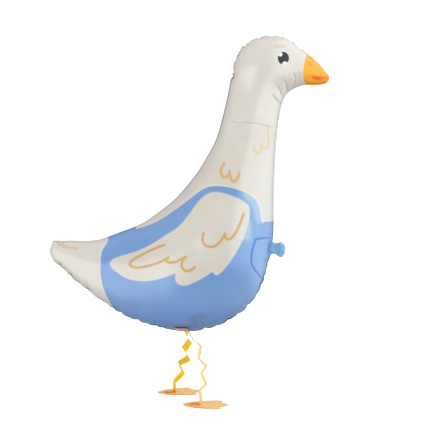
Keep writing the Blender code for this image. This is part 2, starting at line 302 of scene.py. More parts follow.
# first and last rib, spacing, depth and reach of each stretch of small puckers
SMALL_PUCKERS = {
    "front": ((-0.7, 8.4, 0.021, 0.0046, 0.016), (12.0, 15.2, 0.020, 0.0010, 0.010)),
    "back": ((-0.7, 0.9, 0.015, 0.0028, 0.010), (12.9, 17.8, 0.0136, 0.0074, 0.012)),
}
LONG_WIDTH = 0.0055
LONG_CLEARANCE = 0.012  # no small pucker stands closer than this to a long one
SMALL_WIDTH = 0.28  # as a share of the spacing
SMALL_CREASE = 0.75  # as a share of the reach
HIP_PLACE = (-0.045, 0.022)  # x from and to which the film is flat, where the legs are glued


def seam_spot(pixel):
    """The number of the rib whose front end is closest to a place in the photo."""
    seam_pixels = project(np.insert(ribs["front"], 1, 0, axis=1))
    return np.argmin(np.linalg.norm(seam_pixels - pixel, axis=1))


def place_puckers(seam):
    """Rows of place along the seam, depth, width, reach and crease length."""
    along, number = ribs[f"{seam}_along"], ribs["number"]
    rows = []
    for first, last, spacing, depth, reach in SMALL_PUCKERS[seam]:
        start, end = np.interp([first, last], number, along)
        count = int((end - start) / spacing)
        chance = rng.uniform(-0.22, 0.22, count)
        places = start + (np.arange(count) + 0.5 + chance) * spacing
        depths = depth * rng.uniform(0.55, 1.35, count)
        reaches = reach * rng.uniform(0.6, 1.9, count)
        width = SMALL_WIDTH * spacing
        rows += [(p, d, width, r, SMALL_CREASE * r) for p, d, r in zip(places, depths, reaches)]
    if seam == "front":
        for x, y, depth, reach, crease in LONG_PUCKERS:
            place = along[seam_spot((x, y))]
            rows = [row for row in rows if abs(row[0] - place) > LONG_CLEARANCE]
            rows.append((place, depth, LONG_WIDTH, reach, crease))
        under = slice(0, len(along) // 3)
        hip_start, hip_end = np.interp(HIP_PLACE, ribs["front"][under, 0], along[under])
        rows = [row for row in rows if not hip_start < row[0] < hip_end]
    return rows


puckers = {seam: place_puckers(seam) for seam in ("back", "front")}
print("puckers:", {seam: len(rows) for seam, rows in puckers.items()})


def pucker_dent(rows, along, away):
    """How far the film is drawn in: over all puckers, depth x exp(-distance along / width) x
    a fade with the distance away from the seam. The valley is sharp, and the pillow is round."""
    dent = np.zeros_like(along)
    for place, depth, width, reach, _ in rows:
        near = np.abs(along - place) < 8 * width
        offset = np.sqrt((along[near] - place) ** 2 + (0.12 * width) ** 2)
        spread = width * (1 + 0.9 * away[near] / reach)
        dent[near] += depth * np.exp(-offset / spread) / (1 + (away[near] / reach) ** 2) ** 1.5
    return dent


# %% [markdown]
# ## The skin as a surface
#
# skin(u, v) gives a point of the near panel. u is the place along the ribs. v runs across, from
# the back seam's edge (0) to the front seam's edge (1). Between the weld lines the section is half
# an ellipse, and outside them the two films lie together as the seam's border.

# %%
BORDER_SHARE = 0.02  # the share of v that each seam's border takes
BORDER_DENT = 0.8  # how much of a pucker's depth the seam's border takes
FOLD_TAPER = 4.0  # pixels over which a fold fades at its ends
SMOOTH_SIZE = 0.03  # where the balloon is narrower than this, its puckers fade away


def rib_values(u, name):
    """One column of the ribs' table, between its rows."""
    table = ribs[name]
    if table.ndim == 1:
        return np.interp(u, ribs["place"], table)
    return np.stack([np.interp(u, ribs["place"], column) for column in table.T], axis=1)


def weld_line(u, seam):
    return rib_values(u, seam) - rib_values(u, f"{seam}_out") * SEAM_WIDTH


def border_share(v, seam):
    """0 on the film, rising from 0 at the weld line to 1 at the seam's outer edge."""
    return np.clip(1 - (v if seam == "back" else 1 - v) / BORDER_SHARE, 0, 1)


def plain_skin(u, v):
    """The skin without puckers. With t the angle round the section, from 0 to pi, it is the middle
    of the weld lines plus half of their distance x cos(t), and it is half x fullness x sin(t) out."""
    angle = np.clip((v - BORDER_SHARE) / (1 - 2 * BORDER_SHARE), 0, 1) * math.pi
    back_border, front_border = border_share(v, "back"), border_share(v, "front")
    back_out, front_out = rib_values(u, "back_out"), rib_values(u, "front_out")
    back_weld, front_weld = weld_line(u, "back"), weld_line(u, "front")
    centre, half = (back_weld + front_weld) / 2, (back_weld - front_weld) / 2
    plane = centre + half * np.cos(angle)[:, None]
    plane += (back_out * back_border[:, None] + front_out * front_border[:, None]) * SEAM_WIDTH
    thick = np.linalg.norm(half, axis=1) * rib_values(u, "fullness") * np.sin(angle)
    film = FILM_GAP / 2 * (1 - np.maximum(back_border, front_border))
    return np.stack([plane[:, 0], -thick - film, plane[:, 1]], axis=1)


def away_from(plain, line):
    """How far points of the near panel are from a line in the balloon's own plane."""
    return np.hypot(np.linalg.norm(plain[:, 0::2] - line, axis=1), plain[:, 1])


def away_from_weld(plain, u, v, seam):
    """0 in the seam's border, and from there the distance from the weld line."""
    away = away_from(plain, weld_line(u, seam))
    away[border_share(v, seam) > 0] = 0
    return away


def skin_normals(u, v):
    """The way out of the film, from the cross product of small steps along u and v."""
    step_u, step_v = 5e-4, 2e-3
    last = ribs["place"][-1]
    inner = np.clip(v, BORDER_SHARE + 2 * step_v, 1 - BORDER_SHARE - 2 * step_v)
    place = np.clip(u, 2 * step_u, last - 2 * step_u)
    along = plain_skin(place + step_u, inner) - plain_skin(place - step_u, inner)
    across = plain_skin(place, inner + step_v) - plain_skin(place, inner - step_v)
    normal = np.cross(across, along)
    normal /= np.maximum(np.linalg.norm(normal, axis=1, keepdims=True), 1e-12)
    normal[normal[:, 1] > 0] *= -1
    return normal


def along_fold(pixels, curve):
    """The distance from a fold's curve in metres, and from its closer end in pixels."""
    metres = distance_to_line(pixels, curve) * METRES_PER_PIXEL
    return metres, np.minimum(*(np.linalg.norm(pixels - end, axis=1) for end in (curve[0], curve[-1])))


def skin(u, v):
    """The finished near panel: the plain skin, drawn in along its normal by puckers and folds. A
    fold draws it in by depth x a taper to its ends x exp(-distance / width)."""
    plain = plain_skin(u, v)
    normal = skin_normals(u, v)
    dent = np.zeros_like(u)
    for seam, rows in puckers.items():
        dent += pucker_dent(rows, rib_values(u, f"{seam}_along"), away_from_weld(plain, u, v, seam))
    for seam in puckers:
        border = border_share(v, seam) > 0
        dent[border] *= BORDER_DENT
        out = rib_values(u[border], f"{seam}_out")
        normal[border] = np.stack([out[:, 0], np.zeros(len(out)), out[:, 1]], axis=1)

    pixels = project(plain)
    for line, depth, width in FOLDS:
        metres, ends = along_fold(pixels, run(line))
        taper = np.clip(ends / FOLD_TAPER, 0.12, 1)
        dent += depth * taper * np.exp(-np.sqrt(metres**2 + (0.2 * width) ** 2) / width)

    size = np.linalg.norm(weld_line(u, "back") - weld_line(u, "front"), axis=1)
    dent *= np.clip(size / SMOOTH_SIZE, 0, 1)
    moved = plain - normal * dent[:, None]
    moved[:, 1] = np.minimum(moved[:, 1], -FILM_GAP / 2 * (plain[:, 1] < -1e-9))
    return moved


def border_wave(u, v):
    """The seam's border also leans left and right, a little at each pucker, as a bell curve."""
    wave = np.zeros_like(u)
    for seam in puckers:
        lean = border_share(v, seam)
        along = rib_values(u, f"{seam}_along")
        for i, (place, depth, width, _, _) in enumerate(puckers[seam]):
            near = np.abs(along - place) < 6 * width
            sway = (-1) ** i * 0.45 * depth * np.exp(-(((along[near] - place) / (2.2 * width)) ** 2))
            wave[near] += sway * lean[near]
    return wave


# %% [markdown]
# ## Painted shade and highlight finer than the mesh
#
# Four more values go to the film's material, each from 0 to 1: painted shade deep in a crease,
# painted shade along the seam's border as a dark line, a painted highlight beside the chest seam,
# and painted shade in the fine crimps across the border.

# %%
CREASE_WIDTH = 0.0012
CRIMP_STEP = 0.0058
# rib, and how dark the painted shade along the border is there
DARK_BORDERS = {
    "back": ((-0.6, 0.0), (0.0, 0.14), (4.0, 0.25), (7.0, 0.65), (13.0, 0.65), (13.4, 0.0)),
    "front": ((7.8, 0.0), (8.2, 0.8), (9.3, 0.8), (9.6, 0.0)),
}
DARK_WIDTH = 0.0034
DARK_EDGE = 0.001  # half of the width over which the dark line fades
SHINE_PLACE = 0.0062  # how far in from the chest seam's edge a light line runs
SHINE_WIDTH = 0.0012
CRIMP_REACH = 0.0085
CRIMP_DEPTH = 0.004  # puckers of this depth and deeper have crimps at full strength
FULL_PUCKER, FULL_FOLD = 0.0055, 0.0048  # depths at which a crease is at its darkest


def valley_places(u, v):
    """For each pucker: which corners are near, how far along the seam, and how far from it."""
    plain = plain_skin(u, v)
    for seam, rows in puckers.items():
        away = away_from_weld(plain, u, v, seam)
        along = rib_values(u, f"{seam}_along")
        for place, depth, _, _, length in rows:
            yield np.abs(along - place), away, depth, length


def crease_shade(u, v):
    """The darkest of all creases: strength x exp(-(offset / width)^2) x a fade along the crease."""
    shade = np.zeros_like(u)
    for offset, away, depth, length in valley_places(u, v):
        fade = np.clip(1.15 - away / length, 0, 1)
        line = np.exp(-((offset / CREASE_WIDTH) ** 2))
        shade = np.maximum(shade, min(depth / FULL_PUCKER, 1) * fade * line)
    pixels = project(skin(u, v))
    for points, depth, _ in FOLDS:
        metres, ends = along_fold(pixels, run(points))
        line = np.exp(-((metres / CREASE_WIDTH) ** 2))
        shade = np.maximum(shade, depth / FULL_FOLD * np.clip(ends / 3 + 0.2, 0, 1) * line)
    return shade


def beside_seam(u, v, seam):
    """How dark a seam's border is at each place, and the distance from the seam's edge as seen from
    the side."""
    within = np.interp(rib_values(u, "number"), *np.array(DARK_BORDERS[seam]).T)
    return within, np.linalg.norm(plain_skin(u, v)[:, 0::2] - rib_values(u, seam), axis=1)


def border_shade(u, v):
    """The darker of the two borders' painted shade, each even over DARK_WIDTH and soft at its inner
    side.
    """
    shade = np.zeros_like(u)
    for seam in DARK_BORDERS:
        within, away = beside_seam(u, v, seam)
        line = np.clip((DARK_WIDTH + DARK_EDGE - away) / (2 * DARK_EDGE), 0, 1)
        shade = np.maximum(shade, within * line)
    return shade


def seam_shine(u, v):
    """A thin painted highlight beside the chest seam, inside its dark border."""
    within, away = beside_seam(u, v, "front")
    return within * np.exp(-(((away - SHINE_PLACE) / SHINE_WIDTH) ** 2))


def crimp_shade(u, v):
    """Where the edge is puckered: (0.5 - 0.5 cos(2 pi x along / step))^2, with the step a little
    uneven, fading from the edge inwards."""
    number = rib_values(u, "number")
    plain = plain_skin(u, v)
    shade = np.zeros_like(u)
    for seam, stretches in SMALL_PUCKERS.items():
        away = away_from(plain, rib_values(u, seam))
        along = rib_values(u, f"{seam}_along")
        wave = (0.5 - 0.5 * np.cos(math.tau * along / CRIMP_STEP + 2 * np.sin(along * 90))) ** 2
        for first, last, _, depth, _ in stretches:
            within = np.clip((number - first) / 0.5, 0, 1) * np.clip((last - number) / 0.5, 0, 1)
            fade = np.clip(1.1 - away / CRIMP_REACH, 0, 1)
            shade = np.maximum(shade, within * wave * fade * min(depth / CRIMP_DEPTH, 1))
    return shade


# %% [markdown]
# ## The print
#
# The print is laid out in photo pixels. Each colour area is kept as a signed distance in pixels,
# negative inside, one value for each corner of the mesh. The film's material cuts them at zero, so
# the edges stay sharp.

# %%
TROUSERS = (
    (
        (105.0, 232.0), (108.2, 240.0), (102.8, 249.6), (100.7, 260.8), (100.7, 275.1), (102.8, 286.3),
        (106.3, 295.5), (111.4, 304.7), (116.0, 312.0),
    ),
    ((116.0, 350.0), (295.0, 350.0)),
    ((295.0, 221.0), (272.4, 221.4), (261.9, 222.4)),
    (
        (261.9, 222.4), (260.3, 213.5), (257.6, 203.2), (252.0, 196.6), (243.0, 191.5), (230.3, 187.7),
        (217.5, 186.1), (207.6, 187.2), (198.4, 192.1), (186.5, 201.4), (170.0, 213.4), (153.6, 223.0),
        (136.3, 229.1),
    ),
    ((134.0, 221.0), (112.0, 228.0)),
)
WING = (
    (
        (175.7, 273.1), (161.4, 278.2), (146.1, 281.0), (128.3, 278.9), (115.5, 271.2), (109.6, 263.6),
        (115.5, 258.0), (128.3, 254.0), (147.4, 246.6), (166.5, 234.8), (179.3, 225.9), (190.8, 211.9),
        (198.4, 201.7), (207.3, 194.0), (217.6, 192.1), (230.3, 195.3), (243.0, 201.0), (248.8, 205.5),
    ),
    (
        (248.8, 205.5), (249.8, 211.9), (248.5, 222.1), (244.3, 236.1), (236.7, 251.4), (225.2, 268.0),
        (219.0, 274.0), (215.5, 274.8), (212.4, 271.6),
    ),
    (
        (212.4, 271.6), (202.2, 278.2), (190.5, 284.0), (183.0, 285.7), (177.8, 283.6), (175.4, 279.5),
        (175.7, 273.1),
    ),
)
FEATHER_STROKES = (
    (
        (164.0, 245.0), (152.2, 249.6), (140.0, 255.7), (131.8, 260.8), (129.8, 264.4), (132.9, 266.9),
        (140.0, 267.4), (150.2, 265.4), (160.4, 261.8), (168.6, 257.2),
    ),
    ((168.0, 257.6), (166.0, 260.3), (168.6, 262.3), (175.7, 261.8), (180.8, 259.3), (185.9, 256.7)),
    ((185.5, 257.0), (182.3, 261.8), (181.8, 266.9), (185.9, 271.0), (191.0, 270.0), (194.6, 267.4)),
    ((203.5, 233.6), (202.4, 240.0), (205.7, 245.4), (212.5, 246.8), (219.4, 242.7), (225.0, 233.6)),
    ((225.0, 233.6), (225.4, 237.4), (229.0, 239.2), (234.5, 234.5), (240.0, 223.5), (243.5, 213.9)),
)
NECK_STROKES = (
    ((224.3, 163.2), (221.3, 168.5), (221.3, 173.8), (224.2, 177.4), (227.6, 176.0), (229.7, 171.2)),
    ((229.7, 171.2), (230.4, 177.2), (233.6, 181.6), (237.2, 179.0), (239.2, 173.3)),
)
PALE_STROKES = (
    ((266.9, 126.6), (268.2, 136.1), (267.6, 145.9), (264.2, 148.3), (261.3, 144.6)),
    ((261.3, 144.6), (261.0, 150.4), (258.4, 153.6), (255.1, 151.0), (253.7, 146.4)),
)
TAIL_STROKES = (
    ((57.6, 242.4), (65.5, 246.4), (77.0, 248.6)),
    ((58.6, 243.8), (66.5, 247.4)),
)
EYEBROW = ((276.4, 46.4), (280.2, 46.3), (283.8, 46.8))
POCKET_LINES = (
    ((273.5, 237.6), (264.0, 238.0), (255.6, 239.3)),
    ((255.6, 239.3), (252.2, 250.4), (251.4, 261.6), (254.5, 269.3), (264.8, 281.0), (270.0, 286.0)),
)
BUCKLE = ((254.4, 224.4), (260.0, 224.4), (260.0, 234.0), (254.4, 234.0))
# Painted highlights: lighter streaks on the strap and the bib where the film mirrors a bright window.
STRAP_SHEEN = ((247.0, 194.5), (253.5, 201.5), (257.5, 211.0), (259.0, 219.0))
BIB_SHEEN = ((247.5, 224.0), (247.0, 237.0))
BILL_EDGE = (
    (
        (307.8, 48.0), (306.3, 55.0), (304.4, 62.5), (303.2, 70.0), (303.1, 76.0), (304.4, 81.0),
        (308.0, 90.0),
    ),
    ((340.0, 90.0), (340.0, 48.0)),
)
JAW = (
    (
        (300.0, 77.5), (306.0, 77.8), (311.0, 76.8), (317.0, 77.0), (322.5, 76.6), (327.5, 77.6),
        (332.0, 78.6),
    ),
    ((332.0, 90.0), (300.0, 90.0)),
)
MOUTH = (
    ((310.5, 76.2), (315.0, 75.6), (321.0, 76.2), (329.5, 76.6)),
    ((329.5, 79.4), (324.0, 79.6), (318.0, 80.2), (313.0, 79.0)),
)
JAW_LINE = ((303.8, 79.0), (306.0, 82.0), (312.0, 83.2), (320.0, 83.2), (325.0, 81.6))
NOSTRIL = ((309.4, 62.6), (310.6, 64.4), (311.6, 65.6))
BILL_MARK = ((310.2, 57.0), (311.8, 58.4))
EYE_MIDDLE, EYE_RADII = (283.4, 58.2), (5.7, 6.4)
EYE_GLINTS = ((280.4, 54.4, 2.0), (285.0, 64.4, 2.9))
BUCKLE_GROW, MOUTH_SHRINK = 0.8, 0.3  # pixels
# half of each stroke's width, in pixels
HALF_WIDTHS = {
    "feathers": 1.3,
    "neck": 1.3,
    "pale": 1.15,
    "faint": 1.3,
    "pocket": 1.35,
    "painted_sheen": 4.0,
    "jaw_line": 0.6,
    "nostril": 0.8,
}


def outline_of(runs):
    return np.vstack([run(points) for points in runs])


def line_distance(pixels, lines):
    """The distance in pixels to the closest of several curves."""
    return np.min([distance_to_line(pixels, run(line)) for line in lines], axis=0)


def print_distances(pixels):
    """Each ink's signed distance in pixels."""
    eye = np.hypot(*((pixels - EYE_MIDDLE) / EYE_RADII).T)
    eye = (eye - 1) * min(EYE_RADII)
    glints = np.min([np.hypot(pixels[:, 0] - x, pixels[:, 1] - y) - r for x, y, r in EYE_GLINTS], axis=0)
    shapes = {"trousers": TROUSERS, "wing": WING, "bill": BILL_EDGE, "jaw": JAW, "mouth": MOUTH}
    lines = {
        "feathers": FEATHER_STROKES,
        "neck": NECK_STROKES,
        "pale": PALE_STROKES,
        "faint": (EYEBROW, *TAIL_STROKES),
        "pocket": POCKET_LINES,
        "painted_sheen": (STRAP_SHEEN, BIB_SHEEN),
        "jaw_line": (JAW_LINE,),
        "nostril": (NOSTRIL, BILL_MARK),
    }
    inks = {name: distance_to_shape(pixels, outline_of(runs)) for name, runs in shapes.items()}
    inks |= {name: line_distance(pixels, curves) - HALF_WIDTHS[name] for name, curves in lines.items()}
    inks["mouth"] += MOUTH_SHRINK
    inks["buckle"] = distance_to_shape(pixels, np.array(BUCKLE)) - BUCKLE_GROW
    inks["eye"] = np.maximum(eye, -glints)
    inks["glow"] = eye
    return inks


# %% [markdown]
# ## The balloon's mesh
#
# It starts as an even grid in u and v. Triangles near a print edge, a crease or a puckered border
# are split, up to three times, until they are small. Corners stay in u and v until the end, and
# skin() places them all, so they lie on the true surface.

# %%
GRID_STEP = 0.0054
FINE_STEP = 0.0022
CREASE_STEP = 0.0020
GRID_ACROSS = 72
SPLITS = 3
SPLIT_MARGIN = 0.6  # how near a detail is, as a share of the edge, for an edge to be split
SOFT_INKS = ("glow", "painted_sheen")
SAME_PLACE = 2e-6


def grid_triangles(rows, columns):
    first = (np.arange(rows - 1)[:, None] * columns + np.arange(columns - 1)).ravel()
    one = np.stack([first, first + 1, first + columns], axis=1)
    two = np.stack([first + 1, first + columns + 1, first + columns], axis=1)
    return np.vstack([one, two])


def split_edges(corners, triangles, wanted):
    """Splits every edge that wanted() picks at its middle, and each triangle to match.

    A triangle with one split edge becomes two, with two becomes three, and with three becomes four.
    """
    ends = np.sort(np.vstack([triangles[:, [0, 1]], triangles[:, [1, 2]], triangles[:, [2, 0]]]), axis=1)
    edges, edge_of = np.unique(ends, axis=0, return_inverse=True)
    middles = corners[edges].mean(axis=1)
    picked = wanted(corners[edges[:, 0]], corners[edges[:, 1]], middles)
    new = np.full(len(edges), -1)
    new[picked] = len(corners) + np.arange(picked.sum())
    corners = np.vstack([corners, middles[picked]])
    m = new[edge_of.reshape(3, -1)].T
    count = (m >= 0).sum(axis=1)
    made = [triangles[count == 0]]
    for turn in range(3):
        a, b, c = np.roll(triangles, -turn, axis=1).T
        ab, bc, ca = np.roll(m, -turn, axis=1).T
        one = (count == 1) & (ab >= 0)
        made += [np.stack(t, axis=1)[one] for t in ((a, ab, c), (ab, b, c))]
        two = (count == 2) & (ca < 0)
        made += [np.stack(t, axis=1)[two] for t in ((ab, b, bc), (a, ab, bc), (a, bc, c))]
    a, b, c = triangles[count == 3].T
    ab, bc, ca = m[count == 3].T
    made += [np.stack(t, axis=1) for t in ((a, ab, ca), (ab, b, bc), (ca, bc, c), (ab, bc, ca))]
    return corners, np.vstack(made)


def near_detail(start, end, middle):
    """Edges that are still long, and close to a print edge, a crease or a puckered border."""
    points = [skin(*places.T) for places in (start, end)]
    length = np.linalg.norm(points[0] - points[1], axis=1)
    pixels = project(skin(*middle.T))
    inks = print_distances(pixels)
    reach = SPLIT_MARGIN * length / METRES_PER_PIXEL
    close = np.min([np.abs(d) for name, d in inks.items() if name not in SOFT_INKS], axis=0) < reach
    folds = line_distance(pixels, [line for line, _, _ in FOLDS]) < 0.4 + reach
    valleys = np.zeros(len(middle), bool)
    for offset, away, _, crease in valley_places(*middle.T):
        valleys |= (offset < CREASE_WIDTH + SPLIT_MARGIN * length) & (away < 1.1 * crease)
    border = crimp_shade(*middle.T) > 0.02
    return (close & (length > FINE_STEP)) | ((folds | valleys | border) & (length > CREASE_STEP))


def make_panel():
    """The near panel's corners in u and v, and its triangles."""
    rows = math.ceil(ribs["place"][-1] / GRID_STEP)
    u = np.linspace(0, ribs["place"][-1], rows + 1)
    border = np.array([0, 0.45, 1]) * BORDER_SHARE
    inner = np.linspace(BORDER_SHARE, 1 - BORDER_SHARE, GRID_ACROSS + 1)[1:-1]
    v = np.concatenate([border, inner, 1 - border[::-1]])
    corners = np.stack(np.meshgrid(u, v, indexing="ij"), axis=-1).reshape(-1, 2)
    triangles = grid_triangles(len(u), len(v))
    for _ in range(SPLITS):
        corners, triangles = split_edges(corners, triangles, near_detail)
    return corners, triangles


def set_attribute(mesh, name, values, domain="POINT"):
    attribute = mesh.attributes.new(name, "FLOAT", domain)
    attribute.data.foreach_set("value", np.asarray(values, np.float32).ravel())


def make_balloon():
    """Both panels, joined along the seam's outer edge."""
    places, triangles = make_panel()
    near = skin(*places.T)
    values = print_distances(project(near))
    values["crease"] = crease_shade(*places.T)
    values["dark_border"] = border_shade(*places.T)
    values["crimp"] = crimp_shade(*places.T)
    values["seam_shine"] = seam_shine(*places.T)
    wave = border_wave(*places.T)
    far = near * [1, -1, 1]
    near[:, 1] += wave
    far[:, 1] += wave
    mesh = bpy.data.meshes.new("balloon_skin")
    both = np.vstack([triangles, triangles[:, ::-1] + len(near)])
    mesh.from_pydata(np.vstack([near, far]).tolist(), [], both.tolist())
    for name, numbers in values.items():
        set_attribute(mesh, name, np.tile(numbers, 2))
    work = bmesh.new()
    work.from_mesh(mesh)
    bmesh.ops.remove_doubles(work, verts=work.verts, dist=SAME_PLACE)
    bmesh.ops.dissolve_degenerate(work, edges=work.edges, dist=SAME_PLACE)
    loose = [edge for edge in work.edges if not edge.link_faces]
    bmesh.ops.delete(work, geom=loose, context="EDGES")
    rims = [edge for edge in work.edges if len(edge.link_faces) == 1]
    bmesh.ops.holes_fill(work, edges=rims, sides=0)
    bmesh.ops.recalc_face_normals(work, faces=work.faces)
    open_edges = sum(1 for edge in work.edges if len(edge.link_faces) != 2)
    work.to_mesh(mesh)
    work.free()
    mesh.shade_smooth()
    print("balloon:", len(mesh.polygons), "triangles,", open_edges, "open edges")
    return add_object("balloon_skin", mesh)


balloon = make_balloon()
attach(balloon, "root")
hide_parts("balloon")

# %% [markdown]
# ## The film's material
#
# Satin film: ink under a clear coat that mirrors the room softly, with a little metal showing at
# the bill and low on the trousers. The inks are mixed in the order in which they are printed, each
# where its distance is below zero.

# %%
def rgb(red, green, blue):
    """A screen colour, 0 to 255, as the linear colour that shaders use."""
    share = np.array([red, green, blue]) / 255
    linear = np.where(share <= 0.04045, share / 12.92, ((share + 0.055) / 1.055) ** 2.4)
    return (*linear.tolist(), 1.0)


def new_material(name):
    material = bpy.data.materials.new(name)
    material.use_nodes = True
    return material, material.node_tree, material.node_tree.nodes["Principled BSDF"]


def feed(tree, node, values):
    """Gives each named input a fixed value, or links another node's output to it."""
    for name, value in values.items():
        if isinstance(value, bpy.types.NodeSocket):
            tree.links.new(value, node.inputs[name])
        else:
            node.inputs[name].default_value = value


def add_node(tree, kind, values, **settings):
    node = tree.nodes.new(kind)
    for name, value in settings.items():
        setattr(node, name, value)
    feed(tree, node, values)
    return node


def attribute_value(tree, name):
    return add_node(tree, "ShaderNodeAttribute", {}, attribute_name=name).outputs["Fac"]


def ramp_value(tree, value, before, after=(0.0, 1.0), kind="LINEAR"):
    """The value taken from one range to another, and held at its ends."""
    values = {"Value": value, "From Min": before[0], "From Max": before[1]}
    values |= {"To Min": after[0], "To Max": after[1]}
    return add_node(tree, "ShaderNodeMapRange", values, interpolation_type=kind).outputs["Result"]


def ink_mask(tree, name, softness=0.35, grow=0.0):
    """1 where the ink's distance is below grow, over an edge of the given softness, in pixels."""
    return ramp_value(tree, attribute_value(tree, name), (grow + softness, grow - softness))


def product(tree, one, two):
    return add_node(tree, "ShaderNodeMath", {0: one, 1: two}, operation="MULTIPLY").outputs[0]


def mix_ink(tree, under, ink, mask, strength=1.0, blend="MIX"):
    """The colour under the ink, and the ink where its mask is 1."""
    values = {"Factor": product(tree, mask, strength) if strength < 1 else mask, "A": under, "B": ink}
    mix = add_node(tree, "ShaderNodeMix", values, data_type="RGBA", blend_type=blend)
    return mix.outputs["Result"]


def mix_value(tree, under, value, mask):
    """A number that goes to the given value where the mask is 1."""
    values = {"Factor": mask, "A": under, "B": value}
    return add_node(tree, "ShaderNodeMix", values, data_type="FLOAT").outputs["Result"]


def make_relief(name):
    """A group for any material: soft cloudy relief of a given scale and depth, and its clouds."""
    group = bpy.data.node_groups.new(name, "ShaderNodeTree")
    for title, way, kind in (
        ("Scale", "INPUT", "NodeSocketFloat"),
        ("Depth", "INPUT", "NodeSocketFloat"),
        ("Clouds", "OUTPUT", "NodeSocketFloat"),
        ("Normal", "OUTPUT", "NodeSocketVector"),
    ):
        group.interface.new_socket(title, in_out=way, socket_type=kind)
    given = add_node(group, "NodeGroupInput", {}).outputs
    place = add_node(group, "ShaderNodeTexCoord", {}).outputs["Object"]
    values = {"Vector": place, "Scale": given["Scale"], "Detail": 3.0}
    clouds = add_node(group, "ShaderNodeTexNoise", values).outputs["Fac"]
    bump = add_node(group, "ShaderNodeBump", {"Distance": given["Depth"], "Height": clouds})
    add_node(group, "NodeGroupOutput", {"Clouds": clouds, "Normal": bump.outputs["Normal"]})
    return group


def add_relief(tree, group, scale, depth):
    node = add_node(tree, "ShaderNodeGroup", {}, node_tree=group)
    feed(tree, node, {"Scale": scale, "Depth": depth})
    return node.outputs["Clouds"], node.outputs["Normal"]


def height_share(tree, low, high):
    """0 at the low height and 1 at the high one, in metres."""
    place = add_node(tree, "ShaderNodeTexCoord", {}).outputs["Object"]
    parts = add_node(tree, "ShaderNodeSeparateXYZ", {0: place})
    return ramp_value(tree, parts.outputs["Z"], (low, high))


FILM_WHITE = rgb(208, 201, 189)
FILM_WARM = rgb(204, 194, 180)
HALO_WHITE = rgb(218, 214, 208)
# Painted highlight blue for the strap and bib.
SHEEN_BLUE = rgb(148, 182, 202)
TROUSER_BLUE = rgb(65, 137, 201)
TROUSER_DEEP = rgb(59, 128, 197)
# Painted shade: the low trousers are painted darker and more violet.
BELLY_SHADE_VIOLET = rgb(58, 106, 204)
POCKET_BLUE = rgb(44, 116, 192)
BUCKLE_BLUE = rgb(84, 150, 196)
RIM_BLUE = rgb(176, 200, 232)
FEATHER_TAN = rgb(200, 151, 62)
NECK_TAN = rgb(208, 152, 64)
PALE_TAN = rgb(208, 180, 116)
BILL_ORANGE = rgb(244, 168, 30)
JAW_ORANGE = rgb(255, 166, 24)
MOUTH_RED = rgb(232, 98, 0)
JAW_BROWN = rgb(206, 122, 20)
EYE_DARK = rgb(26, 29, 34)
GLOW_WHITE = rgb(232, 232, 230)
# Painted shade for creases, crimps and the seam's border, and a painted highlight beside the chest seam.
CREASE_SHADE_GREY = rgb(120, 122, 118)
CRIMP_SHADE_GREY = rgb(206, 210, 203)
BORDER_SHADE_GREY = rgb(160, 154, 142)
SHINE_BLUE = rgb(196, 222, 236)

# In the order of printing: the ink's area, its colour, or None for bare film, the softness and
# growth of its edge in pixels, and its strength.
INKS = (
    ("pocket", RIM_BLUE, 0.7, 1.2, 0.16),
    ("pocket", POCKET_BLUE, 0.7, 0.0, 1.0),
    ("buckle", BUCKLE_BLUE, 1.6, 0.0, 0.45),
    ("wing", RIM_BLUE, 0.6, 0.5, 0.3),
    ("wing", None, 0.35, 0.0, 1.0),
    ("feathers", FEATHER_TAN, 0.5, 0.0, 1.0),
    ("neck", NECK_TAN, 0.5, 0.0, 1.0),
    ("pale", PALE_TAN, 0.6, 0.0, 1.0),
    ("faint", NECK_TAN, 0.9, 0.0, 0.6),
    ("bill", BILL_ORANGE, 0.35, 0.0, 1.0),
    ("jaw", JAW_ORANGE, 0.8, 0.0, 0.9),
    ("mouth", MOUTH_RED, 1.3, 0.0, 0.9),
    ("jaw_line", JAW_BROWN, 0.8, 0.0, 0.75),
    ("nostril", MOUTH_RED, 0.8, 0.0, 0.75),
    ("glow", GLOW_WHITE, 1.4, 0.0, 0.8),
    ("eye", EYE_DARK, 0.35, 0.0, 1.0),
)
ONLY_ON_BILL = ("jaw", "jaw_line")
# Painted shade towards the bottom of the belly, from this height down.
LOW_HEIGHTS = (0.235, 0.150)  # z from and to which the trousers turn violet

film_relief = make_relief("film_relief")


def turned_away(tree, before):
    """0 where the film faces the eye, rising to 1 as it turns away."""
    turned = add_node(tree, "ShaderNodeLayerWeight", {"Blend": 0.5})
    return ramp_value(tree, turned.outputs["Facing"], before)


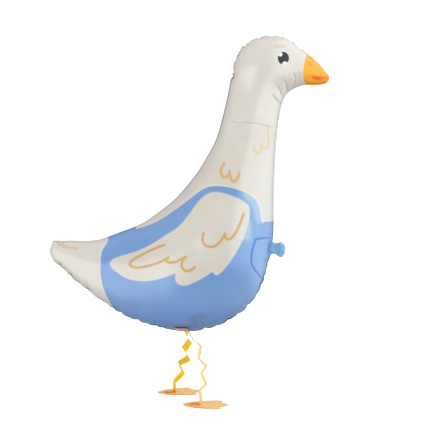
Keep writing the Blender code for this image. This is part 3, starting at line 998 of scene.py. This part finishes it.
def film_material():
    material, tree, shader = new_material("printed_film")
    clouds, normal = add_relief(tree, film_relief, 11.0, 0.0012)
    patches = ramp_value(tree, clouds, (0.40, 0.62))
    trousers, bill = ink_mask(tree, "trousers", 0.45), ink_mask(tree, "bill")
    low = height_share(tree, *LOW_HEIGHTS)
    names = ("crimp", "crease", "dark_border", "seam_shine")
    crimp, crease, dark_border, shine = (attribute_value(tree, name) for name in names)

    white = mix_ink(tree, FILM_WHITE, FILM_WARM, patches)
    blue = mix_ink(tree, TROUSER_BLUE, TROUSER_DEEP, patches)
    # Painted shade: the trousers darker and more violet towards the belly's bottom.
    blue = mix_ink(tree, blue, BELLY_SHADE_VIOLET, low, 0.5)
    # Painted highlight on the strap and bib.
    blue = mix_ink(tree, blue, SHEEN_BLUE, ink_mask(tree, "painted_sheen", 2.5), 0.8)
    colour = mix_ink(tree, white, HALO_WHITE, ink_mask(tree, "trousers", 1.0, 1.4), 0.5)
    colour = mix_ink(tree, colour, blue, trousers)
    for name, ink, softness, grow, strength in INKS:
        mask = ink_mask(tree, name, softness, grow)
        if name in ONLY_ON_BILL:
            mask = product(tree, bill, mask)
        colour = mix_ink(tree, colour, ink or white, mask, strength)
    bare = ramp_value(tree, trousers, (1.0, 0.0), (0.25, 1.0))
    # Painted shade in the crimps, the creases and along the seam's dark border, and a painted highlight
    # beside the chest seam.
    for ink, mask, strength, blend in (
        (CRIMP_SHADE_GREY, product(tree, crimp, bare), 0.9, "MULTIPLY"),
        (SHINE_BLUE, shine, 0.4, "MIX"),
        (CREASE_SHADE_GREY, crease, 0.9, "MULTIPLY"),
        (BORDER_SHADE_GREY, dark_border, 1.0, "MULTIPLY"),
    ):
        colour = mix_ink(tree, colour, ink, mask, strength, blend)

    low_blue = product(tree, low, trousers)
    far_blue = product(tree, turned_away(tree, (0.50, 0.90)), trousers)
    metal, coat = 0.05, 1.0
    for value, mask in ((0.4, low_blue), (0.35, bill), (0.65, ink_mask(tree, "mouth", 1.3))):
        metal = mix_value(tree, metal, value, mask)
    for value, mask in (
        (0.55, ink_mask(tree, "feathers", 0.5)),
        (0.25, low_blue),
        (0.25, far_blue),
        (0.35, ink_mask(tree, "pocket", 0.7)),
        (0.10, bill),
        (0.3, crease),
        (0.2, dark_border),
        (0.0, ink_mask(tree, "eye")),
    ):
        coat = mix_value(tree, coat, value, mask)
    feed(tree, shader, {
        "Base Color": colour,
        "Metallic": metal,
        "Roughness": ramp_value(tree, clouds, (0.3, 0.7), (0.36, 0.44)),
        "Coat Weight": coat,
        "Coat IOR": 2.1,
        "Coat Roughness": 0.16,
        "Normal": normal,
    })
    return material


balloon.data.materials.append(film_material())

# %% [markdown]
# ## The filling tube
#
# Two films welded along their sides make a short flat tube at the chest seam. It is narrow where
# it leaves the balloon, and its crumpled mouth flares.

# %%
VALVE_ROOT = (271.8, 248.0)  # photo pixels on the chest seam
# place out from the root, then how far it reaches up, down and to each side, in metres
VALVE_SECTIONS = (
    (-0.0120, 0.0150, 0.0140, 0.0060),
    (0.0000, 0.0152, 0.0150, 0.0062),
    (0.0068, 0.0126, 0.0140, 0.0046),
    (0.0128, 0.0118, 0.0180, 0.0052),
    (0.0178, 0.0136, 0.0216, 0.0066),
    (0.0226, 0.0142, 0.0222, 0.0068),
    (0.0272, 0.0116, 0.0182, 0.0060),
    (0.0306, 0.0064, 0.0112, 0.0044),
    (0.0322, 0.0022, 0.0038, 0.0020),
)
CRUMPLE = 0.075
TUBE_POINTS = 128  # round each section


def closed_tube(name, sections):
    """A closed skin through rings of points, with a fan of triangles over each end."""
    rings, around = sections.shape[:2]
    points = np.vstack([sections.reshape(-1, 3), sections[0].mean(axis=0), sections[-1].mean(axis=0)])
    faces = []
    for i in range(rings - 1):
        for j in range(around):
            k = (j + 1) % around
            faces.append((i * around + j, i * around + k, (i + 1) * around + k, (i + 1) * around + j))
    for j in range(around):
        k = (j + 1) % around
        faces.append((rings * around, k, j))
        faces.append((rings * around + 1, (rings - 1) * around + j, (rings - 1) * around + k))
    mesh = bpy.data.meshes.new(name)
    mesh.from_pydata(points.tolist(), [], faces)
    work = bmesh.new()
    work.from_mesh(mesh)
    bmesh.ops.recalc_face_normals(work, faces=work.faces)
    work.to_mesh(mesh)
    work.free()
    mesh.shade_smooth()
    return add_object(name, mesh)


def make_valve():
    """A loft along +X. Each section is an ellipse whose upper and lower halves differ, and the film
    is crumpled: it is drawn in by CRUMPLE x |sin| of three mixes of the turn and the place."""
    root = ribs["front"][seam_spot(VALVE_ROOT)]
    curve, _ = natural_spline(VALVE_SECTIONS, CURVE_STEPS)
    turn = np.arange(TUBE_POINTS) * math.tau / TUBE_POINTS
    rings = []
    for place, up, down, side in curve:
        share = place / VALVE_SECTIONS[-1][0]
        folds = np.abs(np.sin(2.5 * turn + 5 * share)) + 0.7 * np.abs(np.sin(4 * turn - 7 * share + 1))
        folds += 0.6 * np.abs(np.sin(1.5 * turn + 12 * share + 2))
        drawn = 1 - CRUMPLE * np.clip(2 * share, 0, 1) * (folds - 0.6)
        tall = np.where(np.sin(turn) > 0, up, down)
        y = side * np.cos(turn) * drawn
        z = tall * np.sin(turn) * (1 - 0.25 * (1 - drawn))
        rings.append(np.stack([np.full(len(turn), root[0] + place), y, root[1] + z], axis=1))
    return closed_tube("filling_tube", np.array(rings))


valve = make_valve()
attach(valve, "root")

# %% [markdown]
# ## The legs
#
# Each leg is a strip of coated paper folded in zigzags, glued flat under the belly and on its foot.
# A fold has its share of the way down, its offset along x from the straight line as a share of the
# strip's width, and the fold line's direction. heel and hip are places in x and y, tab is the way
# in which the upper glued end runs, and droop is how far its loose side hangs.

# %%
STRIP_WIDTH = 0.022
STRIP_THICKNESS = 0.0004
GLUE_GAP = 0.0003
HIP_TAB = 0.030
HIP_TAB_ROWS = 10
FOOT_TAB = 0.024
FOOT_TAB_SHARES = (0.33, 0.67, 1.0)
STRIP_COLUMNS = 9
FACET_ROWS = 7
BOW = 0.0007
TAB_CLEARANCE = 0.0015  # how far round each point the hip tab clears the film
FOLD_ANGLE = 25  # degrees, from which a fold is shaded sharp
FOOT_LENGTH = 0.103
FOOT_WIDTH = 0.094
ANKLE_SHARE = 0.41
CARD_THICKNESS = 0.0010
LEGS = {
    "right": {
        "heel": (-0.013, -0.0727),
        "turn_deg": -4.0,
        "hip": (-0.003, -0.031),
        "tab": (-1.00, 0.20),
        "droop": 0.0015,
        "folds": (
            (0.00, 0.00, (0.20, 1.00, 0.00)),
            (0.14, 0.39, (0.13, 0.97, -0.18)),
            (0.23, 1.06, (0.28, 0.93, -0.24)),
            (0.40, 0.59, (0.26, 0.94, -0.20)),
            (0.50, 1.22, (0.31, 0.95, -0.08)),
            (0.60, 0.56, (0.23, 0.97, -0.11)),
            (0.74, 0.86, (0.32, 0.94, -0.09)),
            (0.82, 0.07, (0.27, 0.95, -0.16)),
            (1.00, 0.00, (0.29, 0.95, 0.00)),
        ),
    },
    "left": {
        "heel": (-0.079, 0.0613),
        "turn_deg": 13.0,
        "hip": (-0.011, 0.012),
        "tab": (0.65, 0.75),
        "droop": 0.0,
        "folds": (
            (0.00, 0.00, (0.75, -0.65, 0.00)),
            (0.12, 0.34, (0.12, -0.98, -0.12)),
            (0.18, 0.77, (0.44, -0.81, -0.39)),
            (0.32, 0.25, (0.54, -0.68, -0.50)),
            (0.45, 0.97, (0.43, -0.73, -0.53)),
            (0.54, 0.01, (0.40, -0.87, -0.29)),
            (0.69, 0.59, (0.48, -0.86, -0.15)),
            (0.83, -0.18, (0.35, -0.91, -0.22)),
            (1.00, 0.00, (0.38, -0.92, 0.00)),
        ),
    },
}


def skin_tree(thing):
    mesh = thing.data
    return BVHTree.FromPolygons([v.co for v in mesh.vertices], [p.vertices for p in mesh.polygons])


def forward_of(leg):
    turn = math.radians(leg["turn_deg"])
    return np.array([math.cos(turn), math.sin(turn), 0.0])


def under_film(tree, x, y, lift):
    """A point that clears the film above a place in plan, and above the places close round it."""
    around = [(0.0, 0.0)] + [(math.cos(turn), math.sin(turn)) for turn in np.arange(8) * math.pi / 4]
    starts = [Vector((x + TAB_CLEARANCE * c, y + TAB_CLEARANCE * s, 0.0)) for c, s in around]
    lowest = min(tree.ray_cast(start, Vector((0, 0, 1)))[0].z for start in starts)
    return (x, y, lowest - lift)


def strip_rows(leg, tree):
    """Rows of points down the strip. Between two folds the paper bows by up to BOW, as a sine."""
    lift = GLUE_GAP + STRIP_THICKNESS / 2
    offsets = np.linspace(-0.5, 0.5, STRIP_COLUMNS)[:, None] * STRIP_WIDTH
    tab_way = unit((*leg["tab"], 0.0))
    _, _, hip_line = leg["folds"][0]
    _, _, ankle_line = leg["folds"][-1]

    rows = []
    for step in np.linspace(HIP_TAB, 0, HIP_TAB_ROWS):
        plan = np.array([*leg["hip"], 0.0]) + tab_way * step + unit(hip_line) * offsets
        row = np.array([under_film(tree, x, y, lift) for x, y, _ in plan])
        row[:, 2] -= leg["droop"] * np.clip(-offsets[:, 0] / STRIP_WIDTH * 2, 0, 1) ** 1.5
        rows.append(row)
    hip = np.mean(rows[-1], axis=0)

    heel = np.array([*leg["heel"], CARD_THICKNESS + lift])
    ankle = heel + forward_of(leg) * FOOT_LENGTH * ANKLE_SHARE
    folds = [rows[-1]]
    for share, offset, line in leg["folds"][1:]:
        centre = hip + (ankle - hip) * share + np.array([offset * STRIP_WIDTH, 0, 0])
        folds.append(centre + unit(line) * offsets)
    for i, (upper, lower) in enumerate(zip(folds[:-1], folds[1:])):
        normal = unit(np.cross(upper[-1] - upper[0], lower.mean(axis=0) - upper.mean(axis=0)))
        for share in np.linspace(0, 1, FACET_ROWS + 1)[1:]:
            bowed = normal * BOW * math.sin(math.pi * share) * (-1) ** i
            rows.append(upper + (lower - upper) * share + bowed)
    heelwards = np.cross(unit(ankle_line), (0, 0, 1))
    if heelwards @ forward_of(leg) > 0:
        heelwards = -heelwards
    for share in FOOT_TAB_SHARES:
        rows.append(ankle + heelwards * FOOT_TAB * share + unit(ankle_line) * offsets)
    return np.array(rows)


def make_leg(side, leg, tree):
    rows = strip_rows(leg, tree)
    count, across = rows.shape[:2]
    faces = [
        (i * across + j, i * across + j + 1, (i + 1) * across + j + 1, (i + 1) * across + j)
        for i in range(count - 1)
        for j in range(across - 1)
    ]
    mesh = bpy.data.meshes.new(f"{side}_strip")
    mesh.from_pydata(rows.reshape(-1, 3).tolist(), [], faces)
    for name, glued in (("glued", slice(-4, None)), ("hip_tab", slice(0, HIP_TAB_ROWS))):
        share = np.zeros((count, across))
        share[glued] = 1.0
        set_attribute(mesh, name, share)
    strip = add_object(f"{side}_strip", mesh)
    paper = strip.modifiers.new("paper", "SOLIDIFY")
    paper.thickness = STRIP_THICKNESS
    paper.offset = 0.0
    mesh.shade_smooth()
    mesh.set_sharp_from_angle(angle=math.radians(FOLD_ANGLE))
    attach(strip, "root")
    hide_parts(f"{side}_leg")
    return strip


belly = skin_tree(balloon)
strips = {side: make_leg(side, leg, belly) for side, leg in LEGS.items()}
print("strips:", {side: len(strip.data.polygons) for side, strip in strips.items()})

# %% [markdown]
# ## The feet
#
# Flat card with three rounded toes, cut as one closed curve. The curve is given for one half, in
# shares of the foot's length and half of its width. The printed glue colour is strongest where the
# strip is stuck on.

# %%
GLUE_PLACE, GLUE_SPREAD = 0.27, 0.13  # shares of the foot's length
FOOT_EDGE = (
    (0.00, 0.00), (0.02, 0.20), (0.13, 0.49), (0.33, 0.76), (0.55, 0.93), (0.74, 1.00),
    (0.84, 0.95), (0.87, 0.83), (0.84, 0.62), (0.86, 0.46), (0.94, 0.33), (0.99, 0.16),
    (1.00, 0.00),
)


def make_foot(side, leg):
    edge, _ = natural_spline(FOOT_EDGE, CURVE_STEPS)
    edge = edge * [FOOT_LENGTH, FOOT_WIDTH / 2]
    outline = np.vstack([edge, (edge * [1, -1])[-2:0:-1]])
    turn = math.radians(leg["turn_deg"])
    spin = np.array([[math.cos(turn), math.sin(turn)], [-math.sin(turn), math.cos(turn)]])
    plan = outline @ spin + leg["heel"]
    work = bmesh.new()
    underside = work.faces.new([work.verts.new((x, y, 0.0)) for x, y in plan])
    risen = bmesh.ops.extrude_face_region(work, geom=[underside])
    for vertex in (v for v in risen["geom"] if isinstance(v, bmesh.types.BMVert)):
        vertex.co.z = CARD_THICKNESS
    bmesh.ops.recalc_face_normals(work, faces=work.faces)
    mesh = bpy.data.meshes.new(f"{side}_card")
    work.to_mesh(mesh)
    work.free()
    corners = np.array([v.co for v in mesh.vertices])
    along = (corners[:, :2] - leg["heel"]) @ forward_of(leg)[:2] / FOOT_LENGTH
    set_attribute(mesh, "glued", np.exp(-(((along - GLUE_PLACE) / GLUE_SPREAD) ** 2)))
    # Side faces of the card, painted darker: partly the raw cut edge, partly painted shadow under the
    # foot.
    set_attribute(mesh, "cut_edge", [abs(p.normal.z) < 0.5 for p in mesh.polygons], "FACE")
    card = add_object(f"{side}_card", mesh)
    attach(card, "root")
    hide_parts(f"{side}_foot")
    return card


cards = {side: make_foot(side, leg) for side, leg in LEGS.items()}


# %% [markdown]
# ## The other materials
#
# The tube's film is bare and glossy, with painted shade on its folds where they turn away. Strips
# and card are coated paper with a fine grain. Their glued ends look deeper in colour, and at the hip
# tab that colour also carries painted shade; the card's cut edges are darker, partly the raw edge and
# partly painted shadow.

# %%
TUBE_BLUE = rgb(104, 154, 206)
TUBE_PALE = rgb(150, 192, 216)
# Painted shade colour for the tube where it turns away.
TUBE_EDGE_SHADE = rgb(58, 84, 124)
GLUE_ORANGE = rgb(252, 140, 10)
# The hip tab's colour: its glue colour, deepened by painted shade from under the belly.
HIP_TAB_AND_SHADE = rgb(226, 146, 98)
# Darker brown for the card's cut edges, partly painted shadow.
CUT_EDGE_AND_SHADOW = rgb(176, 120, 72)
# name, light and deep colour, the colour where it is glued, and how fine its grain is
PAPERS = {
    "left": ("strip_paper", rgb(255, 214, 8), rgb(255, 190, 14), GLUE_ORANGE, 70.0),
    "right": ("faded_paper", rgb(246, 212, 124), rgb(246, 190, 102), GLUE_ORANGE, 70.0),
    "feet": ("foot_card", rgb(255, 212, 132), rgb(247, 200, 120), rgb(250, 146, 24), 160.0),
}

paper_grain = make_relief("paper_grain")


def tube_material():
    material, tree, shader = new_material("tube_film")
    clouds, normal = add_relief(tree, film_relief, 70.0, 0.0006)
    colour = mix_ink(tree, TUBE_BLUE, TUBE_PALE, ramp_value(tree, clouds, (0.40, 0.66)))
    # Painted shade where the crumpled film turns away from the eye.
    colour = mix_ink(tree, colour, TUBE_EDGE_SHADE, turned_away(tree, (0.35, 0.90)), 0.85)
    rough = ramp_value(tree, clouds, (0.3, 0.7), (0.14, 0.30))
    feed(tree, shader, {"Base Color": colour, "Metallic": 0.2, "Roughness": rough, "Normal": normal})
    feed(tree, shader, {"Coat Weight": 0.6, "Coat Roughness": 0.08})
    return material


def paper_material(name, light, deep, glued, grain_scale):
    material, tree, shader = new_material(name)
    clouds, normal = add_relief(tree, paper_grain, grain_scale, 0.0003)
    colour = mix_ink(tree, light, deep, ramp_value(tree, clouds, (0.35, 0.68)))
    colour = mix_ink(tree, colour, glued, attribute_value(tree, "glued"))
    # The hip tab: glue colour with painted shade.
    colour = mix_ink(tree, colour, HIP_TAB_AND_SHADE, attribute_value(tree, "hip_tab"), 0.85)
    # Cut edges darker, partly painted shadow.
    colour = mix_ink(tree, colour, CUT_EDGE_AND_SHADOW, attribute_value(tree, "cut_edge"), 0.7)
    rough = ramp_value(tree, clouds, (0.3, 0.7), (0.34, 0.46))
    values = {"Base Color": colour, "Roughness": rough, "Specular IOR Level": 0.2, "Normal": normal}
    feed(tree, shader, values)
    return material


valve.data.materials.append(tube_material())
papers = {place: paper_material(*paper) for place, paper in PAPERS.items()}
for side in LEGS:
    strips[side].data.materials.append(papers[side])
    cards[side].data.materials.append(papers["feet"])

# %% [markdown]
# ## Floor and light
#
# A pale floor that curves up into a pale wall. All light comes from a bright sky, which is dimmer
# behind the goose and has two soft windows in it.

# %%
SKY_AT_GROUND = 0.89
SKY_AT_ZENITH = 0.97
SKY_BEHIND = (0.05, 0.75, 1.0, 0.66)  # y from and to which the sky dims, and its share there
# A window is a product of soft edges. Each is a direction, and where along it the light goes
# from none to full. The last values are the window's red, green and blue light.
WINDOWS = {
    "right": (
        (((1, 0, 0), 0.16, 0.44), ((0, 0, 1), -0.62, -0.28), ((0, 1, 0), 0.98, 0.60)),
        (0.58, 0.66, 0.72),
    ),
    "left": (
        (((-0.87, -0.48, -0.10), 0.66, 0.92), ((0, 0, 1), 0.27, 0.19)),
        (0.74, 0.80, 0.82),
    ),
}
FLOOR_WIDTH, FLOOR_FRONT, WALL_PLACE, WALL_TOP = 8.0, -3.5, 1.6, 4.5
FLOOR_CURVE = 1.2
FLOOR_GLOW = 0.45


def stage_floor():
    """A floor that rises behind the goose in a quarter circle."""
    profile = [(FLOOR_FRONT, 0.0)]
    for turn in np.linspace(0, math.pi / 2, 24):
        rise = FLOOR_CURVE - FLOOR_CURVE * math.cos(turn)
        profile.append((WALL_PLACE + FLOOR_CURVE * math.sin(turn), rise))
    profile.append((WALL_PLACE + FLOOR_CURVE, WALL_TOP))
    points = [(side * FLOOR_WIDTH / 2, y, z) for y, z in profile for side in (-1, 1)]
    faces = [(2 * i, 2 * i + 1, 2 * i + 3, 2 * i + 2) for i in range(len(profile) - 1)]
    mesh = bpy.data.meshes.new("floor")
    mesh.from_pydata(points, [], faces)
    mesh.shade_smooth()
    floor = add_object("floor", mesh)
    material, tree, shader = new_material("pale_floor")
    feed(tree, shader, {"Base Color": (0.9, 0.9, 0.9, 1), "Roughness": 0.9})
    feed(tree, shader, {"Emission Color": (1, 1, 1, 1), "Emission Strength": FLOOR_GLOW})
    floor.data.materials.append(material)
    floor.visible_glossy = False
    floor.visible_diffuse = False
    return floor


def plain_colours():
    """Colours are shown as they are, with no film look, as in a catalogue photo."""
    bpy.context.scene.view_settings.view_transform = "Standard"


def light_sky():
    """A white sky whose strength grows evenly with height, and the windows' light on top of it."""
    world = bpy.data.worlds.new("sky")
    bpy.context.scene.world = world
    world.use_nodes = True
    tree = world.node_tree
    background = tree.nodes["Background"]
    place = add_node(tree, "ShaderNodeTexCoord", {}).outputs["Generated"]
    sky = ramp_along(tree, place, (0, 0, 1), (-1, 1), (SKY_AT_GROUND, SKY_AT_ZENITH))
    behind = ramp_along(tree, place, (0, 1, 0), SKY_BEHIND[:2], SKY_BEHIND[2:])
    light = tinted(tree, product(tree, sky, behind), (1, 1, 1))
    for edges, tint in WINDOWS.values():
        window = None
        for direction, none, full in edges:
            edge = ramp_along(tree, place, direction, (none, full), (0, 1))
            window = edge if window is None else product(tree, window, edge)
        values = {0: light, 1: tinted(tree, window, tint)}
        light = add_node(tree, "ShaderNodeVectorMath", values, operation="ADD").outputs["Vector"]
    feed(tree, background, {"Color": light})


def tinted(tree, value, tint):
    """Light of one colour, as strong as the value."""
    values = {0: tint, "Scale": value}
    return add_node(tree, "ShaderNodeVectorMath", values, operation="SCALE").outputs["Vector"]


def ramp_along(tree, place, direction, before, after):
    """Smoothly from the first value to the second, as the place's share along a direction grows."""
    values = {0: place, 1: direction}
    share = add_node(tree, "ShaderNodeVectorMath", values, operation="DOT_PRODUCT")
    return ramp_value(tree, share.outputs["Value"], before, after, "SMOOTHSTEP")


floor = stage_floor()
plain_colours()
light_sky()
